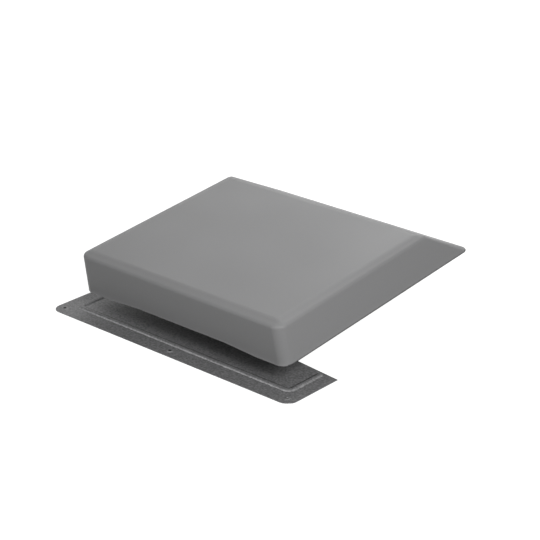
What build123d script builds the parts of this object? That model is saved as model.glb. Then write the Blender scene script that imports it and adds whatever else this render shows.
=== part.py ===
from build123d import *
import os
from math import cos, hypot, radians, sin, tan

# Roof vent: a stamped hood carried on four brackets over a flashing with a
# drawn throat collar. Millimetres, X across, Y from the eaves side to the
# ridge side, Z up, underside of the flashing at Z = 0.

# Hood
hood_width = 362.0
hood_length = 304.0
hood_depth = 63.6
hood_sheet = 0.8
hood_pitch = 5.95
side_lean = 6.0
front_lean = 3.4
rear_slope = 31.3
corner_radius = 15.0
crease_radius = 8.0
hem_height = 8.0
rim_arch_width = 270.0
rim_arch_crown = 160.0
rim_arch_rise = 3.5

# Where the hood stands over the flashing
rim_setback = 34.3
outlet_height = 27.3

# Flashing
flashing_sheet = 0.8
apron_width = 442.0
apron_depth = 97.3
apron_corner_radius = 16.0
shoulder_slope = 5.9
tail_front_width = 286.0
tail_rear_width = 228.0
tail_rear_margin = 29.0
tail_corner_radius = 12.0
bead_front_margin = 31.0
bead_side_margin = 25.5
bead_width = 9.0
bead_height = 2.0
bead_corner_radius = 8.0
bead_end_margin = 6.0

# Nail holes
nail_hole_radius = 1.6
nail_front_margin = 13.6
nail_side_margin = 14.2
nail_dimple_rise = 1.2
nail_dimple_foot = 5.2
nail_dimple_top = 3.0

# Throat
throat_radius = 101.6
collar_height = 19.0
collar_flank = 4.0

# Insect screen and the ring that holds it
screen_sheet = 0.6
screen_pitch = 20.0
screen_bar = 3.0
screen_border = 6.0
ring_sheet = 0.8
ring_lap = 6.0
ring_skirt = 9.0
ring_clearance = 0.15

# Brackets, the pads they stand on, and their rivets
bracket_sheet = 1.2
bracket_width = 20.0
bracket_spread = 192.0
bracket_spacing = 152.0
bracket_rear_margin = 25.0
bracket_foot = 19.0
bracket_tab = 18.0
bracket_bend = 2.5
foot_pad_rise = 1.6
foot_pad_margin = 2.0
foot_pad_slope = 45.0
rivet_radius = 1.6
rivet_clearance = 0.05
rivet_setback = 11.4
rivet_head_radius = 3.2
rivet_head_height = 1.1
rivet_crown_radius = 1.9
rivet_tail_radius = 2.3
rivet_tail_height = 0.9

# Worked out from the sizes above
pitch = radians(hood_pitch)
slope_run = tan(radians(90 - rear_slope))
rim_height = flashing_sheet + outlet_height
crease_setback = rim_setback - front_lean * cos(pitch) - hood_depth * sin(pitch)
crease_height = rim_height - front_lean * sin(pitch) + hood_depth * cos(pitch)
rear_reach = hood_length + hood_depth * slope_run
overall_length = crease_setback + rear_reach * cos(pitch) + hood_depth * sin(pitch)
rear_leg_setback = crease_setback + hood_length * cos(pitch) - bracket_rear_margin
throat_setback = rear_leg_setback - bracket_spacing / 2
tail_end = rear_leg_setback + bracket_foot + tail_rear_margin


def roof_place(part):
    """Centre a part that is measured from the apron's front edge."""
    return Pos(0, -overall_length / 2, 0) * part


def hood_place(part):
    """Carry a part from the hood's own frame, front crease at the origin, to the vent."""
    return Pos(0, crease_setback, crease_height) * Rot(hood_pitch, 0, 0) * part


def pan_ring(inset, drop):
    """The pan's four corners at a depth under its top, drawn in by the inset, before rounding."""
    share = drop / hood_depth
    half = hood_width / 2 + side_lean * share - inset
    front = front_lean * share + inset
    rear = hood_length + slope_run * drop - inset / sin(radians(rear_slope))
    return [(-half, front, -drop), (half, front, -drop), (half, rear, -drop), (-half, rear, -drop)]


def pan_block(inset):
    """The pan as a solid block with flat walls, rounded corners and rounded creases."""
    top = pan_ring(inset, inset)
    rim = pan_ring(inset, hood_depth)
    outlines = [top, rim] + [[top[i - 1], top[i], rim[i], rim[i - 1]] for i in range(len(top))]
    block = Solid(Shell([make_face(Polyline(*points, close=True)) for points in outlines]))
    corners = block.edges().filter_by(lambda edge: abs((edge @ 0).Z - (edge @ 1).Z) > crease_radius)
    block = fillet(corners, corner_radius - inset)
    return fillet(block.faces().sort_by(Axis.Z)[-1].edges(), crease_radius - inset)


def rim_arch(level):
    """Shallow arch across the front wall, from below the rim up to its crown over the level."""
    foot = level - hood_depth
    points = [
        (rim_arch_width / 2, foot - hem_height),
        (rim_arch_width / 2, foot),
        (rim_arch_crown / 2, foot + rim_arch_rise),
    ]
    outline = make_face(Polyline(*points, *[(-x, z) for x, z in reversed(points)], close=True))
    return extrude(Plane.XZ * outline, 2 * (front_lean + 2 * hood_sheet), both=True)


def make_hood():
    """Stamped pan with an inward hem along its rim, arched a little over its front."""
    hem_top = Plane.XY.offset(hem_height - hood_depth)
    above_hem = split(pan_block(hood_sheet), bisect_by=hem_top, keep=Keep.TOP)
    above_hem -= rim_arch(hem_height)
    within_hem = pan_block(2 * hood_sheet)
    return hood_place(pan_block(0) - above_hem - within_hem - rim_arch(0))


def base_outline():
    """Flat outline of the flashing: apron, shoulders and tail."""
    shoulder_run = (apron_width - tail_front_width) / 2
    shoulder = apron_depth + shoulder_run * tan(radians(shoulder_slope))
    right = [
        (apron_width / 2, 0),
        (apron_width / 2, apron_depth),
        (tail_front_width / 2, shoulder),
        (tail_rear_width / 2, tail_end),
    ]
    left = [(-x, y) for x, y in reversed(right)]
    outline = make_face(Polyline(*right, *left, close=True))
    outline = fillet(outline.vertices().sort_by(Axis.Y)[:2], apron_corner_radius)
    return fillet(outline.vertices().sort_by(Axis.Y)[-2:], tail_corner_radius)


def bead(sheet_inset):
    """U-shaped bead of the apron with its domed ends, under its outer or its inner skin."""
    outer_radius = (bead_width**2 / 4 + bead_height**2) / (2 * bead_height)
    centre = flashing_sheet + bead_height - outer_radius
    radius = outer_radius - sheet_inset
    half = apron_width / 2 - bead_side_margin
    end = apron_depth - bead_end_margin
    path = FilletPolyline(
        (-half, end),
        (-half, bead_front_margin),
        (half, bead_front_margin),
        (half, end),
        radius=bead_corner_radius,
    )
    upper = Rectangle(2 * radius, 2 * radius, align=(Align.CENTER, Align.MIN))
    section = (Pos(0, centre) * Circle(radius)) & (Pos(0, -sheet_inset) * upper)
    rib = sweep(Plane(origin=path @ 0, x_dir=(1, 0, 0), z_dir=(0, -1, 0)) * section, path)
    dome = split(
        Pos(0, 0, centre) * Sphere(radius),
        bisect_by=Plane.XY.offset(-sheet_inset),
        keep=Keep.TOP,
    )
    return rib + [Pos(x, end, 0) * dome for x in (-half, half)]


def dimples(level):
    """Low cones pressed up round the nail holes, over a level."""
    cone = Cone(nail_dimple_foot, nail_dimple_top, nail_dimple_rise)
    return [Pos(x, y, level + nail_dimple_rise / 2) * cone for x, y in nail_places()]


def holes(places, radius):
    """Upright round holes through everything near the flashing at the places."""
    return [Pos(x, y, 0) * Cylinder(radius, 2 * collar_height) for x, y in places]


def nail_places():
    """Three nail holes along the front of the apron."""
    side = apron_width / 2 - nail_side_margin
    return [(x, nail_front_margin) for x in (-side, 0, side)]


def leg_places():
    """The brackets' names, with the place of each leg and the way its foot points."""
    ends = {"front": -1, "rear": 1}
    sides = {"left": -1, "right": 1}
    return {
        f"hood_bracket_{end}_{side}": (
            sides[side] * bracket_spread / 2,
            throat_setback + ends[end] * bracket_spacing / 2,
            ends[end],
        )
        for end in ends
        for side in sides
    }


def pads(level):
    """Low pads with sloping sides pressed up under the brackets' feet, over a level."""
    border = 2 * (foot_pad_margin + foot_pad_rise / tan(radians(foot_pad_slope)))
    foot = Rectangle(bracket_width + border, bracket_foot + border)
    return [
        extrude(
            Pos(x, y + way * bracket_foot / 2, level) * foot,
            foot_pad_rise,
            taper=90 - foot_pad_slope,
        )
        for x, y, way in leg_places().values()
    ]


def rivet_places():
    """One rivet through the foot of each bracket."""
    return [(x, y + way * rivet_setback) for x, y, way in leg_places().values()]


def collar():
    """Drawn collar round the throat, with a sloping flank at its foot."""
    outer = throat_radius + flashing_sheet
    foot = outer + collar_flank
    points = [
        (foot + flashing_sheet, 0),
        (foot, 0),
        (throat_radius, foot - throat_radius),
        (throat_radius, collar_height),
        (outer, collar_height),
        (outer, flashing_sheet + collar_flank),
        (foot, flashing_sheet),
        (foot + flashing_sheet, flashing_sheet),
    ]
    section = Plane.XZ * make_face(Polyline(*points, close=True))
    return Pos(0, throat_setback, 0) * revolve(section, Axis.Z)


def make_base_plate():
    """Flashing with its bead, dimpled nail holes, pads and throat collar, all one stamping."""
    plate = extrude(base_outline(), flashing_sheet)
    plate += [bead(0), *dimples(flashing_sheet), *pads(flashing_sheet)]
    plate -= [bead(flashing_sheet), *dimples(0), *pads(0)]
    plate -= holes(nail_places(), nail_hole_radius)
    plate -= holes(rivet_places(), rivet_radius + rivet_clearance)
    plate &= extrude(base_outline(), collar_height)
    collar_foot = throat_radius + flashing_sheet + collar_flank
    plate -= holes([(0, throat_setback)], collar_foot)
    return plate + collar()


def make_screen():
    """Insect screen as a flat disc with a grid of square gaps inside its border."""
    radius = throat_radius + flashing_sheet
    gap = screen_pitch - screen_bar
    count = int(2 * radius / screen_pitch)
    open_radius = throat_radius - screen_border - hypot(gap, gap) / 2
    gaps = [
        place * Rectangle(gap, gap)
        for place in GridLocations(screen_pitch, screen_pitch, count, count)
        if place.position.length < open_radius
    ]
    disc = extrude(Circle(radius) - gaps, screen_sheet)
    return Pos(0, throat_setback, collar_height) * disc


def make_ring():
    """Pressed ring that laps over the screen and down round the collar."""
    inner = throat_radius + flashing_sheet + ring_clearance
    outer = inner + ring_sheet
    lap = throat_radius - ring_lap
    seat = collar_height + screen_sheet
    top = seat + ring_sheet
    points = [
        (lap, seat),
        (inner, seat),
        (inner, seat - ring_skirt),
        (outer, seat - ring_skirt),
        (outer, top),
        (lap, top),
    ]
    section = Plane.XZ * make_face(Polyline(*points, close=True))
    return Pos(0, throat_setback, 0) * revolve(section, Axis.Z)


def hood_underside(setback, gap):
    """Height of a plane that lies the gap under the hood's top, at a setback."""
    level = -hood_sheet - gap
    return crease_height + (setback - crease_setback) * tan(pitch) + level / cos(pitch)


def make_bracket(x, leg, way):
    """Bent strip: a foot on the flashing, a leg, and a tab that lies under the hood."""
    half = bracket_sheet / 2
    foot_height = flashing_sheet + foot_pad_rise + half
    tab_end = leg - way * bracket_tab * cos(pitch)
    path = FilletPolyline(
        (x, leg + way * bracket_foot, foot_height),
        (x, leg, foot_height),
        (x, leg, hood_underside(leg, half)),
        (x, tab_end, hood_underside(tab_end, half)),
        radius=bracket_bend,
    )
    start = Plane(origin=path @ 0, x_dir=(1, 0, 0), z_dir=path % 0)
    strip = sweep(start * Rectangle(bracket_width, bracket_sheet), path)
    return strip - holes(rivet_places(), rivet_radius + rivet_clearance)


def make_rivet():
    """Blind rivet: low head on the foot, shank, and tail inside the pad."""
    grip = bracket_sheet + flashing_sheet
    standing = (Align.CENTER, Align.CENTER, Align.MIN)
    shank = Cylinder(rivet_radius, grip, align=standing)
    tail = Pos(0, 0, -rivet_tail_height) * Cylinder(
        rivet_tail_radius, rivet_tail_height, align=standing
    )
    head = Pos(0, 0, grip) * Cone(
        rivet_head_radius, rivet_crown_radius, rivet_head_height, align=standing
    )
    return tail + shank + head


def make_rivets():
    """All the rivets as one group of separate solids."""
    rivet = make_rivet()
    return Part() + [Pos(x, y, foot_pad_rise) * rivet for x, y in rivet_places()]


nodes = {
    "hood": make_hood(),
    "base_plate": make_base_plate(),
    "insect_screen": make_screen(),
    "screen_ring": make_ring(),
    "bracket_rivets": make_rivets(),
}
for name, place in leg_places().items():
    nodes[name] = make_bracket(*place)

os.makedirs("parts", exist_ok=True)
for name, part in nodes.items():
    export_step(roof_place(part), f"parts/{name}.step")
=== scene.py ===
import math

import bpy
from bpy.props import FloatProperty, FloatVectorProperty, IntProperty, PointerProperty
from mathutils import Euler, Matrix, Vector


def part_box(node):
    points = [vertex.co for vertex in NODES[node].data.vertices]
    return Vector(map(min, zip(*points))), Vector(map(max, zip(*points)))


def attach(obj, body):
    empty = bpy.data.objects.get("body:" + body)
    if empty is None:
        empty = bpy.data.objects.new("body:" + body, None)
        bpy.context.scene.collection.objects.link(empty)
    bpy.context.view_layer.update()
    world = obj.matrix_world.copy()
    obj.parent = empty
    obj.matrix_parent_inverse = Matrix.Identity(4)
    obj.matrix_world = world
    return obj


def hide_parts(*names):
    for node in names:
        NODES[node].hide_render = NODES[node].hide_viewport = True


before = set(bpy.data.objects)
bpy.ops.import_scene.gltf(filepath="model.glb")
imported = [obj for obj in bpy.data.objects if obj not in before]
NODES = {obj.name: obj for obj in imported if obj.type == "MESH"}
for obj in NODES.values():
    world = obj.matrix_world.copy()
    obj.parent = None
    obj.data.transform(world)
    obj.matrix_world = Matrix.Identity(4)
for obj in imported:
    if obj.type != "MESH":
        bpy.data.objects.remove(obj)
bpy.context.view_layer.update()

bl_info = {
    "name": "Roof vent",
    "version": (1, 0, 0),
    "blender": (4, 5, 0),
    "location": "3D View > Sidebar > Roof vent",
    "description": "Dresses the packed roof vent with its hood, wire cloth, rivets, finishes and studio",
    "category": "Object",
}

BODY = "root"
MM = 0.001

# Faces that meet at more than this keep a crisp edge
CREASE_ANGLE = math.radians(32)

# Places on the flashing: in from its sides, back from its front edge and up from the roof
APRON_DEPTH = 95 * MM
BEAD_INSET = 27.6 * MM
BEAD_SETBACK = 33.1 * MM
NAIL_INSET = 14.2 * MM
NAIL_SETBACK = 13.6 * MM
DIMPLE_HEIGHT = 1.6 * MM

# How far patches of a surface go below and above its own roughness, and the metal's shades
PAINT_UNEVENNESS = (-0.04, 0.06)
METAL_UNEVENNESS = (-0.08, 0.1)
METAL_SHADES = (0.86, 1.08)

# Name, place in metres, size in metres and watts of each lamp, and the place that all face
LAMPS = (
    ("Key", (1.6, -0.8, 1.2), 1.0, 22.9),
    ("Back", (-0.6, 1.5, 1.6), 1.2, 11.5),
    ("Sheen", (-1.4, 1.5, 1.1), 1.2, 5.6),
    ("Low", (0.5, -1.5, 0.25), 0.6, 3.2),
)
LAMP_TARGET = (0, 0, 0.06)

# The sky's strength as light and as seen, the floor's glow as seen, the floor's grey, and the near black
# painted under the apron as shadow
SKY_LIGHT = 0.155
SKY_SEEN = 1
FLOOR_GLOW = 0.96
FLOOR_SHADE = 0.35
FLOOR_PAINTED_SHADOW_UNDER_APRON = 0.02


def length(name, description, millimetres):
    """A property that holds a length."""
    return FloatProperty(
        name=name, description=description, unit="LENGTH", precision=4, default=millimetres * MM
    )


def angle(name, description, degrees):
    """A property that holds an angle."""
    return FloatProperty(
        name=name, description=description, subtype="ANGLE", default=math.radians(degrees)
    )


def colour(name, description, value):
    """A property that holds a colour."""
    return FloatVectorProperty(
        name=name, description=description, subtype="COLOR", size=3, min=0, max=1, default=value
    )


def factor(name, description, value):
    """A property that holds a share of one."""
    return FloatProperty(
        name=name, description=description, subtype="FACTOR", min=0, max=1, default=value
    )


class VentHood(bpy.types.PropertyGroup):
    """Sizes of the hood. Its rim is that of the solid model."""

    width: length("Width", "Hood's width at its creases", 366.6)
    length: length("Length", "Hood's length at its creases", 306.2)
    depth: length("Depth", "Hood's depth from top to rim", 63.6)
    sheet: length("Sheet", "Thickness of the sheet", 0.8)
    pitch: angle("Pitch", "Rise of the top towards the back", 5.95)
    side_lean: length("Side lean", "How far the rim stands out beyond the crease at the sides", 3.7)
    front_lean: length("Front lean", "How far the rim lies behind the crease at the front", 5.6)
    rear_slope: angle("Rear slope", "Angle of the back to the top", 31.3)
    corner_radius: length("Corner radius", "Radius of the upright corners", 15)
    first_bend: angle("First bend", "Slope where the top first turns down", 20)
    first_length: length("First length", "Length of the first bend", 8)
    land_slope: angle("Land slope", "Slope of the land before the main bend", 15)
    land_length: length("Land length", "Length of the land", 5.5)
    crease_radius: length("Crease radius", "Radius of the main bend", 5)
    least_radius: length("Least radius", "Radius of the top's corners", 4)
    rear_radius: length("Rear radius", "Radius of the rear corners at the crease", 6)
    hem_height: length("Hem height", "Height of the folded hem", 8)
    arch_width: length("Arch width", "Width of the front rim's arch", 270)
    arch_crown: length("Arch crown", "Width of the arch's level middle", 160)
    arch_rise: length("Arch rise", "Rise of the front rim's arch", 3.5)
    lip: length("Lip", "How far the rim's rolled lip stands out of the wall", 0.5)
    rim_setback: length("Rim setback", "Front rim's distance behind the apron's edge", 34.3)
    rim_height: length("Rim height", "Height of the front rim's corners over the roof", 28.1)
    corner_steps: IntProperty(name="Corner steps", description="Facets round a corner", default=12)
    crease_steps: IntProperty(name="Crease steps", description="Facets over a crease", default=9)


class VentScreen(bpy.types.PropertyGroup):
    """Wire cloth over the throat."""

    pitch: length("Pitch", "Spacing of the wires", 4.2)
    wire: length("Wire", "Diameter of a wire", 0.28)


class VentFinish(bpy.types.PropertyGroup):
    """Colours and gloss of the sheet and metal."""

    hood_colour: colour("Hood colour", "Paint of the hood", (0.285, 0.285, 0.288))
    flashing_colour: colour("Flashing colour", "Paint of the flashing", (0.2, 0.2, 0.203))
    metal_colour: colour("Bare metal colour", "Mill finish of the metalwork", (0.56, 0.57, 0.58))
    rivet_colour: colour("Rivet colour", "Aluminium of the rivets", (0.65, 0.65, 0.66))
    hood_roughness: factor("Hood roughness", "How much the hood's paint scatters", 0.42)
    flashing_roughness: factor("Flashing roughness", "How much the flashing's paint scatters", 0.55)


class VentStage(bpy.types.PropertyGroup):
    """Camera and studio."""

    camera_place: FloatVectorProperty(
        name="Camera place",
        description="Camera's place from the middle of the apron's front edge",
        subtype="TRANSLATION",
        unit="LENGTH",
        size=3,
        default=(1.4533, -1.4526, 0.9996),
    )
    camera_turn: FloatVectorProperty(
        name="Camera turn",
        description="Camera's angles about X, Y and Z",
        subtype="EULER",
        unit="ROTATION",
        size=3,
        default=(math.radians(66.871), math.radians(-0.303), math.radians(41.178)),
    )
    lens: FloatProperty(
        name="Lens", description="Focal length on a 36 mm frame", unit="CAMERA", default=113.886
    )
    floor_size: FloatProperty(
        name="Floor size", description="Side of the square floor", unit="LENGTH", default=12
    )


def new_material(name):
    """An empty node material with its output."""
    material = bpy.data.materials.new(name)
    material.use_nodes = True
    nodes = material.node_tree.nodes
    nodes.clear()
    output = nodes.new("ShaderNodeOutputMaterial")
    return material, nodes, material.node_tree.links, output


def grain_group():
    """Fine grain and broad unevenness of rolled and painted sheet, as masks."""
    name = "Sheet grain"
    if name in bpy.data.node_groups:
        return bpy.data.node_groups[name]
    group = bpy.data.node_groups.new(name, "ShaderNodeTree")
    face = group.interface
    for label, value in (("Grain scale", 900.0), ("Patch scale", 9.0), ("Patch stretch", 1.0)):
        socket = face.new_socket(label, in_out="INPUT", socket_type="NodeSocketFloat")
        socket.default_value = value
    for label in ("Grain", "Patches"):
        face.new_socket(label, in_out="OUTPUT", socket_type="NodeSocketFloat")
    nodes, links = group.nodes, group.links
    inside = nodes.new("NodeGroupInput")
    outside = nodes.new("NodeGroupOutput")
    place = nodes.new("ShaderNodeTexCoord")
    grain = nodes.new("ShaderNodeTexNoise")
    grain.inputs["Detail"].default_value = 3
    patches = nodes.new("ShaderNodeTexNoise")
    patches.inputs["Detail"].default_value = 4
    patches.inputs["Roughness"].default_value = 0.45
    stretch = nodes.new("ShaderNodeCombineXYZ")
    stretch.inputs["X"].default_value = 1
    stretch.inputs["Z"].default_value = 1
    scaled = nodes.new("ShaderNodeVectorMath")
    scaled.operation = "MULTIPLY"
    links.new(place.outputs["Object"], grain.inputs["Vector"])
    links.new(inside.outputs["Grain scale"], grain.inputs["Scale"])
    links.new(inside.outputs["Patch stretch"], stretch.inputs["Y"])
    links.new(place.outputs["Object"], scaled.inputs[0])
    links.new(stretch.outputs["Vector"], scaled.inputs[1])
    links.new(scaled.outputs["Vector"], patches.inputs["Vector"])
    links.new(inside.outputs["Patch scale"], patches.inputs["Scale"])
    links.new(grain.outputs["Fac"], outside.inputs["Grain"])
    links.new(patches.outputs["Fac"], outside.inputs["Patches"])
    return group


def spread(nodes, links, source, low, high, start=0.3, stop=0.7):
    """Stretch one range of a value, by default a noise's middle, over a new range."""
    node = nodes.new("ShaderNodeMapRange")
    node.inputs["From Min"].default_value = start
    node.inputs["From Max"].default_value = stop
    node.inputs["To Min"].default_value = low
    node.inputs["To Max"].default_value = high
    links.new(source, node.inputs["Value"])
    return node.outputs["Result"]


def by_mask(nodes, links, mask, without, within):
    """A value that goes from one to another as a mask goes from nought to one."""
    return spread(nodes, links, mask, without, within, 0, 1)


def calculate(nodes, links, operation, first, second=None):
    """A value worked out from one or two others."""
    node = nodes.new("ShaderNodeMath")
    node.operation = operation
    links.new(first, node.inputs[0])
    if second is not None:
        links.new(second, node.inputs[1])
    return node.outputs["Value"]


def multiply(nodes, links, first, second):
    """The product of two values."""
    return calculate(nodes, links, "MULTIPLY", first, second)


def vector_step(nodes, links, operation, vector, fixed=(0, 0, 0)):
    """A node that works on a vector, with a fixed one where the operation takes two."""
    node = nodes.new("ShaderNodeVectorMath")
    node.operation = operation
    node.inputs[1].default_value = fixed
    links.new(vector, node.inputs[0])
    return node


def split(nodes, links, vector):
    """The three parts of a vector."""
    parts = nodes.new("ShaderNodeSeparateXYZ")
    links.new(vector, parts.inputs["Vector"])
    return parts.outputs


def surface_place(nodes):
    """The surface's place in the shared frame."""
    return nodes.new("ShaderNodeTexCoord").outputs["Object"]


def shaded(nodes, links, base, shade):
    """A colour made lighter or darker by a factor that varies."""
    tint = nodes.new("ShaderNodeVectorMath")
    tint.operation = "SCALE"
    tint.inputs[0].default_value = base
    links.new(shade, tint.inputs["Scale"])
    return tint.outputs["Vector"]


def painted_sheet(name, paint, roughness, grain_scale, speckle, drift, bump_height, effects):
    """Painted steel: a flat coat with fine grain, a slow drift of shade and its own effects."""
    material, nodes, links, output = new_material(name)
    shader = nodes.new("ShaderNodeBsdfPrincipled")
    shader.inputs["Specular IOR Level"].default_value = 0.2
    links.new(shader.outputs["BSDF"], output.inputs["Surface"])
    grain = nodes.new("ShaderNodeGroup")
    grain.node_tree = grain_group()
    grain.inputs["Grain scale"].default_value = grain_scale
    fine = spread(nodes, links, grain.outputs["Grain"], 1 - speckle, 1 + speckle)
    broad = spread(nodes, links, grain.outputs["Patches"], 1 - drift, 1 + drift)
    shade = multiply(nodes, links, fine, broad)
    for effect in effects:
        shade = multiply(nodes, links, shade, effect(nodes, links))
    links.new(shaded(nodes, links, paint, shade), shader.inputs["Base Color"])
    smoothest, roughest = (roughness + change for change in PAINT_UNEVENNESS)
    gloss = spread(nodes, links, grain.outputs["Patches"], smoothest, roughest)
    links.new(gloss, shader.inputs["Roughness"])
    bump = nodes.new("ShaderNodeBump")
    bump.inputs["Strength"].default_value = 0.5
    bump.inputs["Distance"].default_value = bump_height
    links.new(grain.outputs["Grain"], bump.inputs["Height"])
    links.new(bump.outputs["Normal"], shader.inputs["Normal"])
    return material


def rubbed_edges_and_lip_shade(nodes, links):
    """Lighter paint where the attribute is over nought, for rubbed edges, and painted shade where it is
    under it, for the shadow under the side walls' rolled lip.
    """
    palest, darkest = 1.1, 0.4
    wear_and_lip_shade = nodes.new("ShaderNodeAttribute")
    wear_and_lip_shade.attribute_name = "wear_and_lip_shade"
    rubbed = by_mask(nodes, links, wear_and_lip_shade.outputs["Fac"], 1, palest)
    # Painted shade under the side walls' rolled lip, where the attribute is under nought
    lip_shaded = spread(nodes, links, wear_and_lip_shade.outputs["Fac"], darkest, 1, -1, 0)
    return multiply(nodes, links, rubbed, lip_shaded)


def on_apron(nodes, links, place):
    """One on the apron in front of the shoulder, none behind it."""
    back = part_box("base_plate")[0].y + APRON_DEPTH
    fade = 1 * MM
    return spread(nodes, links, place["Y"], 1, 0, back - fade, back)


def bead_flank_highlights(nodes, links):
    """Painted highlight: paler paint on the flanks of the bead and dimples that face outwards, chosen by
    the way each face points.
    """
    side_highlight, front_highlight = 1.5, 2.1
    side_slopes, front_slopes = (0.3, 0.6), (-0.65, -0.4)
    place = split(nodes, links, surface_place(nodes))
    surface = nodes.new("ShaderNodeNewGeometry")
    normal = split(nodes, links, surface.outputs["Normal"])
    apron = on_apron(nodes, links, place)
    half = calculate(nodes, links, "SIGN", place["X"])
    outward = multiply(nodes, links, multiply(nodes, links, normal["X"], half), apron)
    forward = multiply(nodes, links, normal["Y"], apron)
    side = spread(nodes, links, outward, 1, side_highlight, *side_slopes)
    front = spread(nodes, links, forward, front_highlight, 1, *front_slopes)
    return multiply(nodes, links, side, front)


def bead_shade_line(nodes, links):
    """A thin line of painted shade along the bead's crest, for the shadow of its inner flank, fainter at
    its left end.
    """
    low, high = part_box("base_plate")
    crest = Vector((high.x - BEAD_INSET, low.y + BEAD_SETBACK, 0))
    reach = 5 * MM
    # The line fades in and out over these, which count outwards from the crest's outer edge
    line_starts, line_ends = (-3.9 * MM, -3.2 * MM), (-0.8 * MM, -0.2 * MM)
    left_end = (4 * MM - crest.x, 8 * MM - crest.x)
    left_strength, darkest = 0.2, 0.2
    place = split(nodes, links, surface_place(nodes))
    across = calculate(nodes, links, "ABSOLUTE", place["X"])
    side = spread(nodes, links, across, -reach, 0, crest.x - reach, crest.x)
    front = spread(nodes, links, place["Y"], 0, -reach, crest.y, crest.y + reach)
    beyond = calculate(nodes, links, "MAXIMUM", side, front)
    started = spread(nodes, links, beyond, 0, 1, *line_starts)
    ended = spread(nodes, links, beyond, 1, 0, *line_ends)
    # Painted shade along the bead
    line = multiply(nodes, links, started, ended)
    line = multiply(nodes, links, line, on_apron(nodes, links, place))
    faint = spread(nodes, links, place["X"], left_strength, 1, *left_end)
    return by_mask(nodes, links, multiply(nodes, links, line, faint), 1, darkest)


def nail_hole_shade_and_highlight(nodes, links):
    """Painted shade round the left and middle nail holes, and a painted highlight ring where their
    dimples rise.
    """
    darkest, palest, fallen = 0.08, 1.3, 0.8
    hole_shade_edge, highlight_ring_edge = (2 * MM, 2.9 * MM), (5 * MM, 6.5 * MM)
    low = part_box("base_plate")[0]
    place = surface_place(nodes)
    gaps = []
    for x in (low.x + NAIL_INSET, 0):
        nail = (x, low.y + NAIL_SETBACK, DIMPLE_HEIGHT)
        gap = vector_step(nodes, links, "DISTANCE", place, nail)
        gaps.append(gap.outputs["Value"])
    nearest = calculate(nodes, links, "MINIMUM", *gaps)
    # Painted shade in the holes, then painted highlight on the dimples
    hole_shade = spread(nodes, links, nearest, darkest, palest, *hole_shade_edge)
    ring = spread(nodes, links, nearest, 1, fallen, *highlight_ring_edge)
    return multiply(nodes, links, hole_shade, ring)


def bare_metal(name, metal, roughness, stretch):
    """Mill finish metal with rolling streaks."""
    streak_scale = 60
    material, nodes, links, output = new_material(name)
    shader = nodes.new("ShaderNodeBsdfPrincipled")
    shader.inputs["Metallic"].default_value = 1
    links.new(shader.outputs["BSDF"], output.inputs["Surface"])
    grain = nodes.new("ShaderNodeGroup")
    grain.node_tree = grain_group()
    grain.inputs["Patch scale"].default_value = streak_scale
    grain.inputs["Patch stretch"].default_value = stretch
    patches = grain.outputs["Patches"]
    smoothest, roughest = (roughness + change for change in METAL_UNEVENNESS)
    links.new(spread(nodes, links, patches, smoothest, roughest), shader.inputs["Roughness"])
    shade = spread(nodes, links, patches, *METAL_SHADES)
    links.new(shaded(nodes, links, metal, shade), shader.inputs["Base Color"])
    return material


def smooth(piece):
    """Smooth curved faces and keep flat ones flat."""
    weighted = piece.modifiers.new("Flat faces stay flat", "WEIGHTED_NORMAL")
    weighted.keep_sharp = True


def dress(node, material):
    """Give a CAD node its material, and smooth shading between its crisp edges."""
    same_point = 0.005 * MM
    piece = NODES[node]
    piece.data.materials.clear()
    piece.data.materials.append(material)
    for face in piece.data.polygons:
        face.use_smooth = True
    weld = piece.modifiers.new("Weld", "WELD")
    weld.merge_threshold = same_point
    crisp = piece.modifiers.new("Crisp edges", "EDGE_SPLIT")
    crisp.split_angle = CREASE_ANGLE
    smooth(piece)


def place_piece(piece, name, node, material):
    """Name a finished piece, dress it and let it stand for its CAD node."""
    piece.name = name
    piece.data.name = name
    piece.data.materials.clear()
    piece.data.materials.append(material)
    bpy.ops.object.select_all(action="DESELECT")
    piece.select_set(True)
    bpy.context.view_layer.objects.active = piece
    bpy.ops.object.transform_apply(location=True, rotation=True, scale=True)
    bpy.ops.object.shade_smooth_by_angle(angle=CREASE_ANGLE)
    smooth(piece)
    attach(piece, BODY)
    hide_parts(node)


def chosen():
    """Leave edit mode and list the active mesh's selected points."""
    bpy.ops.object.mode_set(mode="OBJECT")
    return [point.index for point in bpy.context.active_object.data.vertices if point.select]


def choose(indices):
    """Select only these points of the active mesh, in edit mode."""
    mesh = bpy.context.active_object.data
    wanted = set(indices)
    mesh.polygons.foreach_set("select", [False] * len(mesh.polygons))
    mesh.edges.foreach_set("select", [False] * len(mesh.edges))
    mesh.vertices.foreach_set("select", [point.index in wanted for point in mesh.vertices])
    bpy.ops.object.mode_set(mode="EDIT")
    bpy.ops.mesh.select_mode(type="VERT")


def shift(loop, test, step):
    """Move the points of a loop that pass the test."""
    points = bpy.context.active_object.data.vertices
    part = [index for index in loop if test(points[index].co)]
    if part and Vector(step).length > 0:
        choose(part)
        bpy.ops.transform.translate(value=step)
        bpy.ops.object.mode_set(mode="OBJECT")


def join(pieces):
    """Make one mesh of several pieces, in place of the first."""
    bpy.ops.object.select_all(action="DESELECT")
    for piece in pieces:
        piece.select_set(True)
    bpy.context.view_layer.objects.active = pieces[0]
    bpy.ops.object.join()
    return pieces[0]


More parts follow.
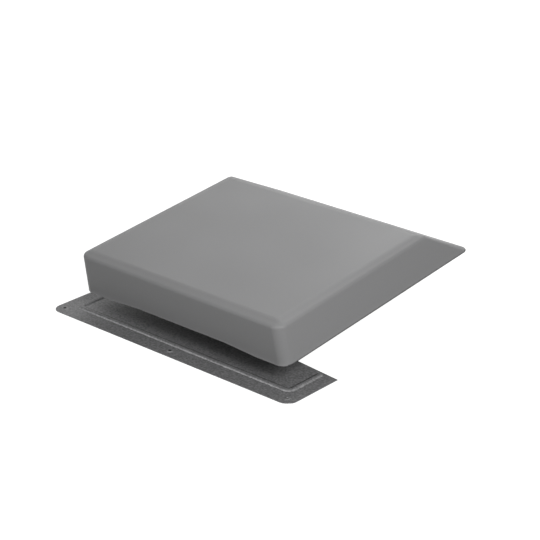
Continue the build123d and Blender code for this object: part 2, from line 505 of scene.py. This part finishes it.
def lathe(profile, steps, centre, closed):
    """Turn a profile of radius and height pairs about an upright axis."""
    same_point = 0.001 * MM
    bpy.ops.object.select_all(action="DESELECT")
    radius, height = profile[0]
    place = (centre[0], centre[1], height)
    fill = "NOTHING" if closed else "NGON"
    bpy.ops.mesh.primitive_circle_add(
        vertices=steps, radius=radius, fill_type=fill, location=place
    )
    bpy.ops.object.transform_apply(location=True, rotation=True, scale=True)
    bpy.ops.object.mode_set(mode="EDIT")
    bpy.ops.mesh.select_mode(type="EDGE")
    bpy.ops.mesh.select_all(action="SELECT")
    if not closed:
        bpy.ops.mesh.region_to_loop()
    for next_radius, next_height in profile[1:]:
        bpy.ops.mesh.extrude_region_move(
            TRANSFORM_OT_translate={"value": (0, 0, next_height - height)}
        )
        ratio = next_radius / radius
        bpy.ops.transform.resize(value=(ratio, ratio, 1), center_override=(*centre, next_height))
        radius, height = next_radius, next_height
    if not closed:
        bpy.ops.mesh.edge_face_add()
    bpy.ops.mesh.select_all(action="SELECT")
    if closed:
        bpy.ops.mesh.remove_doubles(threshold=same_point)
    bpy.ops.mesh.normals_make_consistent(inside=False)
    bpy.ops.object.mode_set(mode="OBJECT")
    return bpy.context.active_object


class HoodForm:
    """Outline of the hood's outer and inner skin at each depth under its top."""

    def __init__(self, hood):
        self.hood = hood
        leans = {
            "side": math.atan2(hood.side_lean, hood.depth),
            "front": math.atan2(-hood.front_lean, hood.depth),
            "rear": math.pi / 2 - hood.rear_slope,
        }
        self.runs = {wall: math.tan(lean) for wall, lean in leans.items()}
        self.creases = {
            (wall, inset): self.crease(math.pi / 2 - lean, inset)
            for wall, lean in leans.items()
            for inset in (0, 1, 2)
        }

    def crease(self, turn, inset):
        """Depths and reaches over a crease: a slight first bend, a land and the main bend."""
        hood = self.hood
        first, land = hood.first_bend, hood.land_slope
        first_steps, land_steps = 8, 3
        stages = (
            (0, first, hood.first_length, first_steps),
            (first, land, hood.land_length, land_steps),
            (land, turn, hood.crease_radius * (turn - land), hood.crease_steps),
        )
        across, depth, tilt = 0.0, 0.0, 0.0
        path = [(depth, across, tilt)]
        for start, stop, size, steps in stages:
            for step in range(steps):
                middle = start + (stop - start) * (step + 0.5) / steps
                across += size / steps * math.cos(middle)
                depth += size / steps * math.sin(middle)
                path.append((depth, across, start + (stop - start) * (step + 1) / steps))
        run = 1 / math.tan(turn)
        shift_back = run * depth - across
        sheet = inset * hood.sheet
        return [
            (down + sheet * math.cos(slope), out + shift_back - sheet * math.sin(slope))
            for down, out, slope in path
        ]

    def reach(self, wall, depth, inset):
        """How far a wall stands out beyond the sharp crease at a depth."""
        path = self.creases[wall, inset]
        for (low, near), (high, far) in zip(path, path[1:]):
            if depth <= high:
                share = max((depth - low) / (high - low), 0)
                return near + (far - near) * share
        return path[-1][1] + (depth - path[-1][0]) * self.runs[wall]

    def ring(self, depth, inset=0, bulge=0.0, roll=0.0, lift=0.0):
        """The sheet's loop at a depth, some sheets inwards: its half width, ends and radii.

        The bulge takes the front out, the roll takes the sides in, and the lift is the arch's.
        """
        hood = self.hood
        reach = {wall: self.reach(wall, depth, inset) for wall in self.runs}
        share = min(max(depth / hood.depth, 0), 1)
        rear = hood.rear_radius + (hood.corner_radius - hood.rear_radius) * share

        def rounded(radius, wall):
            """A corner's radius along one wall, smaller over the crease."""
            inward = max(depth, 0) * self.runs[wall] - reach[wall]
            return max(radius - inward, hood.least_radius)

        radius = {
            "front": (rounded(hood.corner_radius, "side"), rounded(hood.corner_radius, "front")),
            "rear": (rounded(rear, "side"), rounded(rear, "rear")),
        }
        return {
            "half": hood.width / 2 + reach["side"] - roll,
            "front": -reach["front"] - bulge,
            "rear": hood.length + reach["rear"],
            "depth": depth,
            "lift": lift,
            "radius": radius,
        }

    def rings(self):
        """Loops over the outer skin, round the hem and back under the inner skin."""
        hood = self.hood
        wall_top = 2.4 * hood.crease_radius
        hem_top = hood.depth - hood.hem_height
        rise = hood.arch_rise
        outer = [self.ring(down) for down, _ in self.creases["side", 0]]
        outer += [self.ring(wall_top), self.ring(hem_top)]
        # Millimetres over the rim, sheets inwards, share of the lip and millimetres rolled under
        rim = (
            (2.8, 0, 0, 0),
            (2.0, 0, 0.6, 0.05),
            (1.3, 0, 1, 0.18),
            (0.6, 0, 0.7, 0.42),
            (0.15, 0, 0.2, 0.7),
            (0, 1, 0, 0),
            (0.3, 2, 0, 0),
        )
        hem = [
            self.ring(hood.depth - up * MM, inset, out * hood.lip, under * MM, rise)
            for up, inset, out, under in rim
        ]
        hem += [self.ring(hem_top, 2, lift=rise), self.ring(hem_top, 1, lift=rise)]
        inner = [self.ring(hem_top - 2 * rise, 1)]
        inner += [self.ring(down, 1) for down, _ in reversed(self.creases["side", 1])]
        return outer + hem + inner


class VENT_OT_hood(bpy.types.Operator):
    """Model the stamped hood with its soft creases and rolled hem"""

    bl_idname = "roof_vent.hood"
    bl_label = "Hood"

    def execute(self, context):
        hood = context.scene.vent_hood
        finish = context.scene.vent_finish
        rings = HoodForm(hood).rings()
        self.first_loop(hood, rings[0])
        for here, there in zip(rings, rings[1:]):
            self.next_loop(hood, here, there)
        bpy.ops.mesh.edge_face_add()
        bpy.ops.mesh.select_all(action="SELECT")
        bpy.ops.mesh.normals_make_consistent(inside=False)
        bpy.ops.object.mode_set(mode="OBJECT")
        piece = context.active_object
        self.mark_wear_and_lip_shade(hood, piece.data, rings[0]["half"])
        lean_back = hood.front_lean * math.cos(hood.pitch) + hood.depth * math.sin(hood.pitch)
        rise = hood.depth * math.cos(hood.pitch) - hood.front_lean * math.sin(hood.pitch)
        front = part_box("base_plate")[0].y
        piece.rotation_euler.x = hood.pitch
        piece.location = (0, front + hood.rim_setback - lean_back, hood.rim_height + rise)
        paint = painted_sheet(
            "Hood paint",
            finish.hood_colour,
            finish.hood_roughness,
            grain_scale=700,
            speckle=0.02,
            drift=0.02,
            bump_height=0.02 * MM,
            effects=(rubbed_edges_and_lip_shade,),
        )
        place_piece(piece, "hood_shell", "hood", paint)
        return {"FINISHED"}

    def first_loop(self, hood, ring):
        """Flat top with rounded corners, and points where the rim's arch bends."""
        half, front, rear = ring["half"], ring["front"], ring["rear"]
        bpy.ops.object.select_all(action="DESELECT")
        bpy.ops.mesh.primitive_plane_add(size=1, location=(0, (front + rear) / 2, 0))
        bpy.context.active_object.scale = (2 * half, rear - front, 1)
        bpy.ops.object.transform_apply(location=True, rotation=True, scale=True)
        bpy.ops.object.mode_set(mode="EDIT")
        bpy.ops.mesh.select_all(action="SELECT")
        bpy.ops.mesh.bevel(
            offset=hood.least_radius, segments=hood.corner_steps, affect="VERTICES", profile=0.5
        )
        for place in (hood.arch_width / 2, hood.arch_crown / 2):
            for side in (-1, 1):
                bpy.ops.mesh.select_all(action="SELECT")
                bpy.ops.mesh.bisect(plane_co=(side * place, 0, 0), plane_no=(1, 0, 0))
        bpy.ops.mesh.select_mode(type="EDGE")
        bpy.ops.mesh.select_all(action="SELECT")
        bpy.ops.mesh.region_to_loop()

    def next_loop(self, hood, here, there):
        """Extrude the selected loop and take it from one ring to the next."""
        bpy.ops.mesh.extrude_region_move(
            TRANSFORM_OT_translate={"value": (0, 0, here["depth"] - there["depth"])}
        )
        loop = chosen()
        middle = hood.length / 2
        near = 0.01 * MM
        side = here["half"] - max(here["radius"]["front"][0], here["radius"]["rear"][0]) - near
        for way in (-1, 1):
            step = (way * (there["half"] - here["half"]), 0, 0)
            shift(loop, lambda co: way * co.x > side, step)
        shift(loop, lambda co: co.y < middle, (0, there["front"] - here["front"], 0))
        shift(loop, lambda co: co.y > middle, (0, there["rear"] - here["rear"], 0))
        self.round_corners(loop, here, there, near)
        arched = (hood.arch_crown + hood.arch_width) / 4
        lift = (0, 0, there["lift"] - here["lift"])
        shift(loop, lambda co: co.y < middle and abs(co.x) < arched, lift)
        choose(loop)

    def round_corners(self, loop, here, there, near):
        """Bring the four corners of a loop from their old radii to the new ones."""
        least_change = 1e-6
        points = bpy.context.active_object.data.vertices
        for wall, way in (("front", -1), ("rear", 1)):
            old, new = here["radius"][wall], there["radius"][wall]
            wide = there["half"] - old[0] - near
            long = way * there[wall] - old[1] - near
            ratio = (new[0] / old[0], new[1] / old[1], 1)
            if max(abs(part - 1) for part in ratio) < least_change:
                continue
            for side in (-1, 1):
                part = [
                    index
                    for index in loop
                    if side * points[index].co.x > wide and way * points[index].co.y > long
                ]
                choose(part)
                pivot = (side * there["half"], there[wall], points[loop[0]].co.z)
                bpy.ops.transform.resize(value=ratio, center_override=pivot)
                bpy.ops.object.mode_set(mode="OBJECT")

    def mark_wear_and_lip_shade(self, hood, mesh, top_half):
        """Note where hands rub the paint, and minus one for painted shade under the side walls' rolled
        lip.
        """
        crease_depth, crease_band, rim_band = 3.2 * MM, 3 * MM, 4 * MM
        lip_shade_height, front_corner, unworn_back = 2.1 * MM, 12 * MM, 20 * MM
        flat_half, flat_depth = top_half - 1 * MM, 0.1 * MM
        values = []
        for point in mesh.vertices:
            across, along, depth = abs(point.co.x), point.co.y, -point.co.z
            crease = math.exp(-(((depth - crease_depth) / crease_band) ** 2))
            rim = math.exp(-(((depth - hood.depth) / rim_band) ** 2))
            flat = across < flat_half and depth < flat_depth
            back = along > hood.length - unworn_back
            low = depth > hood.depth - lip_shade_height
            # Painted shade: the shadow under the side walls' rolled lip
            if low and along > front_corner and across > hood.width / 2:
                values.append(-1.0)
            else:
                values.append(0.0 if flat or back else min(crease + rim, 1.0))
        wear_and_lip_shade = mesh.attributes.new("wear_and_lip_shade", "FLOAT", "POINT")
        wear_and_lip_shade.data.foreach_set("value", values)


class VENT_OT_flashing(bpy.types.Operator):
    """Finish the flashing"""

    bl_idname = "roof_vent.flashing"
    bl_label = "Flashing"

    def execute(self, context):
        finish = context.scene.vent_finish
        paint = painted_sheet(
            "Flashing paint",
            finish.flashing_colour,
            finish.flashing_roughness,
            grain_scale=340,
            speckle=0.34,
            drift=0.04,
            bump_height=0.08 * MM,
            effects=(bead_flank_highlights, bead_shade_line, nail_hole_shade_and_highlight),
        )
        dress("base_plate", paint)
        return {"FINISHED"}


class VENT_OT_screen(bpy.types.Operator):
    """Weave the insect screen and press its ring"""

    bl_idname = "roof_vent.screen"
    bl_label = "Insect screen"

    def execute(self, context):
        screen = context.scene.vent_screen
        finish = context.scene.vent_finish
        low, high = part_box("insect_screen")
        centre = (low + high) / 2
        radius = (high.x - low.x) / 2
        across = self.wires(screen, centre, radius, 0)
        along = self.wires(screen, centre, radius, 1)
        cloth = join((across, along))
        wire = bare_metal("Screen wire", finish.metal_colour, roughness=0.38, stretch=1)
        place_piece(cloth, "woven_screen", "insect_screen", wire)
        self.ring(finish, centre)
        return {"FINISHED"}

    def wires(self, screen, centre, radius, axis):
        """Wires along one axis, each waved over and under the wires across it."""
        count = 2 * int(radius / screen.pitch)
        bpy.ops.object.select_all(action="DESELECT")
        bpy.ops.mesh.primitive_grid_add(
            x_subdivisions=count, y_subdivisions=count, size=count * screen.pitch
        )
        mesh = bpy.context.active_object.data
        bpy.ops.object.mode_set(mode="EDIT")
        bpy.ops.mesh.select_mode(type="EDGE")
        bpy.ops.mesh.select_all(action="DESELECT")
        bpy.ops.object.mode_set(mode="OBJECT")
        points = mesh.vertices
        for edge in mesh.edges:
            step = points[edge.vertices[1]].co - points[edge.vertices[0]].co
            edge.select = abs(step[axis]) < screen.pitch / 2
        bpy.ops.object.mode_set(mode="EDIT")
        bpy.ops.mesh.delete(type="EDGE")
        bpy.ops.mesh.select_mode(type="VERT")
        bpy.ops.object.mode_set(mode="OBJECT")
        reach = radius - screen.pitch / 4
        choose([point.index for point in mesh.vertices if point.co.length > reach])
        bpy.ops.mesh.delete(type="VERT")
        bpy.ops.object.mode_set(mode="OBJECT")
        over = [
            point.index
            for point in mesh.vertices
            if round((point.co.x + point.co.y) / screen.pitch + axis) % 2
        ]
        under = sorted(set(range(len(mesh.vertices))) - set(over))
        for part, way in ((over, 1), (under, -1)):
            choose(part)
            bpy.ops.transform.translate(value=(0, 0, way * screen.wire / 2))
            bpy.ops.object.mode_set(mode="OBJECT")
        bpy.ops.object.convert(target="CURVE")
        piece = bpy.context.active_object
        piece.data.bevel_depth = screen.wire / 2
        piece.data.bevel_resolution = 1
        piece.data.use_fill_caps = True
        bpy.ops.object.convert(target="MESH")
        piece = bpy.context.active_object
        piece.location = centre
        return piece

    def ring(self, finish, centre):
        """Pressed ring with a rounded outer corner and rolled edges."""
        low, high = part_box("screen_ring")
        steps = 160
        sheet, bend = 0.8 * MM, 1.6 * MM
        lap_width, inner_bend = 6.95 * MM, 0.8 * MM
        foot_edge, lap_edge = 0.25 * MM, 0.2 * MM
        outer = (high.x - low.x) / 2
        inner = outer - sheet
        lap = inner - lap_width
        top, foot = high.z, low.z
        seat = top - sheet
        turn = [math.radians(15 * step) for step in range(7)]
        profile = [(lap + lap_edge, top)]
        profile += [
            (outer - bend * (1 - math.sin(a)), top - bend * (1 - math.cos(a))) for a in turn
        ]
        profile += [
            (outer, foot + foot_edge),
            (outer - foot_edge, foot),
            (inner + foot_edge, foot),
            (inner, foot + foot_edge),
            (inner, seat - inner_bend),
            (inner - foot_edge, seat - foot_edge),
            (inner - inner_bend, seat),
            (lap + lap_edge, seat),
            (lap, seat + lap_edge),
            (lap, top - lap_edge),
            (lap + lap_edge, top),
        ]
        ring = lathe(profile, steps, (centre.x, centre.y), closed=True)
        metal = bare_metal("Mill finish", finish.metal_colour, roughness=0.36, stretch=8)
        place_piece(ring, "pressed_ring", "screen_ring", metal)


class VENT_OT_metalwork(bpy.types.Operator):
    """Set the blind rivets and finish the brackets"""

    bl_idname = "roof_vent.metalwork"
    bl_label = "Metalwork"

    def execute(self, context):
        finish = context.scene.vent_finish
        brackets = [node for node in NODES if node.startswith("hood_bracket")]
        metal = bare_metal("Galvanised strip", finish.metal_colour, roughness=0.42, stretch=12)
        for node in brackets:
            dress(node, metal)
        low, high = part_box("bracket_rivets")
        steps = 32
        profile = self.rivet_profile(low.z, high.z)
        widest = max(radius for radius, height in profile)
        rivets = join(
            [
                lathe(profile, steps, (x, y), closed=False)
                for x in (low.x + widest, high.x - widest)
                for y in (low.y + widest, high.y - widest)
            ]
        )
        aluminium = bare_metal("Rivet aluminium", finish.rivet_colour, roughness=0.3, stretch=1)
        place_piece(rivets, "blind_rivets", "bracket_rivets", aluminium)
        return {"FINISHED"}

    def rivet_profile(self, bottom, top):
        """A blind rivet's outline from the recess of its head to the end of its tail."""
        # Millimetres from the axis and under the crown: recess, dome and flat of the head
        head = (
            (0.75, 0.7),
            (0.85, 0),
            (1.2, 0),
            (2.0, 0.12),
            (2.7, 0.42),
            (3.1, 0.8),
            (3.2, 1.02),
            (3.2, 1.1),
            (1.55, 1.1),
        )
        # Millimetres from the axis and over the end: foot of the shank, then the swollen tail
        tail = ((1.55, 0.9), (2.05, 0.9), (2.3, 0.6), (2.2, 0.15), (1.5, 0), (0.75, 0))
        profile = [(radius * MM, top - depth * MM) for radius, depth in head]
        return profile + [(radius * MM, bottom + height * MM) for radius, height in tail]


def seen_directly(nodes, links):
    """One for rays of the camera, of reflections and through glass, none for the light."""
    path = nodes.new("ShaderNodeLightPath")
    seen = path.outputs["Is Camera Ray"]
    for ray in ("Is Glossy Ray", "Is Transmission Ray"):
        seen = calculate(nodes, links, "MAXIMUM", seen, path.outputs[ray])
    return seen


def area_light(name, place, size, power):
    """A square soft box that faces the part."""
    lamp = bpy.data.lights.new(name, "AREA")
    lamp.shape = "SQUARE"
    lamp.size = size
    lamp.energy = power
    holder = bpy.data.objects.new(name, lamp)
    bpy.context.scene.collection.objects.link(holder)
    holder.location = place
    gaze = Vector(LAMP_TARGET) - Vector(place)
    holder.rotation_euler = gaze.to_track_quat("-Z", "Y").to_euler()


class VENT_OT_stage(bpy.types.Operator):
    """Set the floor, lamps, sky and camera"""

    bl_idname = "roof_vent.stage"
    bl_label = "Stage"

    def execute(self, context):
        scene = context.scene
        stage = scene.vent_stage
        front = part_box("base_plate")[0].y

        camera = bpy.data.cameras.new("Camera")
        camera.lens = stage.lens
        camera.sensor_width = 36
        camera.clip_end = 50
        holder = bpy.data.objects.new("Camera", camera)
        scene.collection.objects.link(holder)
        holder.location = Vector(stage.camera_place) + Vector((0, front, 0))
        holder.rotation_euler = Euler(stage.camera_turn)
        scene.camera = holder

        bpy.ops.object.select_all(action="DESELECT")
        bpy.ops.mesh.primitive_plane_add(size=stage.floor_size)
        floor = context.active_object
        floor.name = "floor"
        floor.data.materials.append(self.floor_material())

        for lamp in LAMPS:
            area_light(*lamp)
        self.sky(scene)
        scene.view_settings.view_transform = "Standard"
        return {"FINISHED"}

    def floor_material(self):
        """Pale floor that shows white to the camera and keeps the object's shadow, with painted shadow
        under the apron.
        """
        material, nodes, links, output = new_material("Pale floor")
        matt = nodes.new("ShaderNodeBsdfDiffuse")
        glow = nodes.new("ShaderNodeEmission")
        open_floor = self.open_floor(nodes, links)
        # Painted shadow: nearly black floor under the apron
        shade = by_mask(nodes, links, open_floor, FLOOR_PAINTED_SHADOW_UNDER_APRON, FLOOR_SHADE)
        links.new(shade, matt.inputs["Color"])
        seen = multiply(nodes, links, seen_directly(nodes, links), open_floor)
        links.new(by_mask(nodes, links, seen, 0, FLOOR_GLOW), glow.inputs["Strength"])
        both = nodes.new("ShaderNodeAddShader")
        links.new(matt.outputs["BSDF"], both.inputs[0])
        links.new(glow.outputs["Emission"], both.inputs[1])
        links.new(both.outputs["Shader"], output.inputs["Surface"])
        return material

    def open_floor(self, nodes, links):
        """None under the apron, where the floor is painted dark as shadow and does not glow, so that its
        nail holes look dark, and one elsewhere.
        """
        low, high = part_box("base_plate")
        inset, fade, reach = 6 * MM, 1 * MM, 45 * MM
        middle = (0, low.y + reach, 0)
        centred = vector_step(nodes, links, "SUBTRACT", surface_place(nodes), middle)
        away = vector_step(nodes, links, "ABSOLUTE", centred.outputs["Vector"])
        parts = split(nodes, links, away.outputs["Vector"])
        side, end = high.x - inset, reach - inset
        across = spread(nodes, links, parts["X"], 1, 0, side - fade, side)
        along = spread(nodes, links, parts["Y"], 1, 0, end - fade, end)
        return by_mask(nodes, links, multiply(nodes, links, across, along), 1, 0)

    def sky(self, scene):
        """Even light from all round, shown as white to the camera."""
        world = bpy.data.worlds.new("Sky")
        world.use_nodes = True
        scene.world = world
        nodes, links = world.node_tree.nodes, world.node_tree.links
        sky = nodes["Background"]
        sky.inputs["Color"].default_value = (1, 1, 1, 1)
        strength = by_mask(nodes, links, seen_directly(nodes, links), SKY_LIGHT, SKY_SEEN)
        links.new(strength, sky.inputs["Strength"])


class VENT_PT_panel(bpy.types.Panel):
    """Sizes, colours and steps of the roof vent"""

    bl_idname = "VENT_PT_panel"
    bl_label = "Roof vent"
    bl_space_type = "VIEW_3D"
    bl_region_type = "UI"
    bl_category = "Roof vent"

    def draw(self, context):
        scene = context.scene
        for group in (scene.vent_hood, scene.vent_screen, scene.vent_finish, scene.vent_stage):
            for name in group.__annotations__:
                self.layout.prop(group, name)
        for step in STEPS:
            self.layout.operator(step.bl_idname)


STEPS = (VENT_OT_hood, VENT_OT_flashing, VENT_OT_screen, VENT_OT_metalwork, VENT_OT_stage)
CLASSES = (VentHood, VentScreen, VentFinish, VentStage, *STEPS, VENT_PT_panel)


def register():
    for item in CLASSES:
        bpy.utils.register_class(item)
    bpy.types.Scene.vent_hood = PointerProperty(type=VentHood)
    bpy.types.Scene.vent_screen = PointerProperty(type=VentScreen)
    bpy.types.Scene.vent_finish = PointerProperty(type=VentFinish)
    bpy.types.Scene.vent_stage = PointerProperty(type=VentStage)


def unregister():
    del bpy.types.Scene.vent_stage
    del bpy.types.Scene.vent_finish
    del bpy.types.Scene.vent_screen
    del bpy.types.Scene.vent_hood
    for item in reversed(CLASSES):
        bpy.utils.unregister_class(item)


def main():
    """Run every step in order."""
    register()
    bpy.ops.roof_vent.hood()
    bpy.ops.roof_vent.flashing()
    bpy.ops.roof_vent.screen()
    bpy.ops.roof_vent.metalwork()
    bpy.ops.roof_vent.stage()


if __name__ == "__main__":
    main()
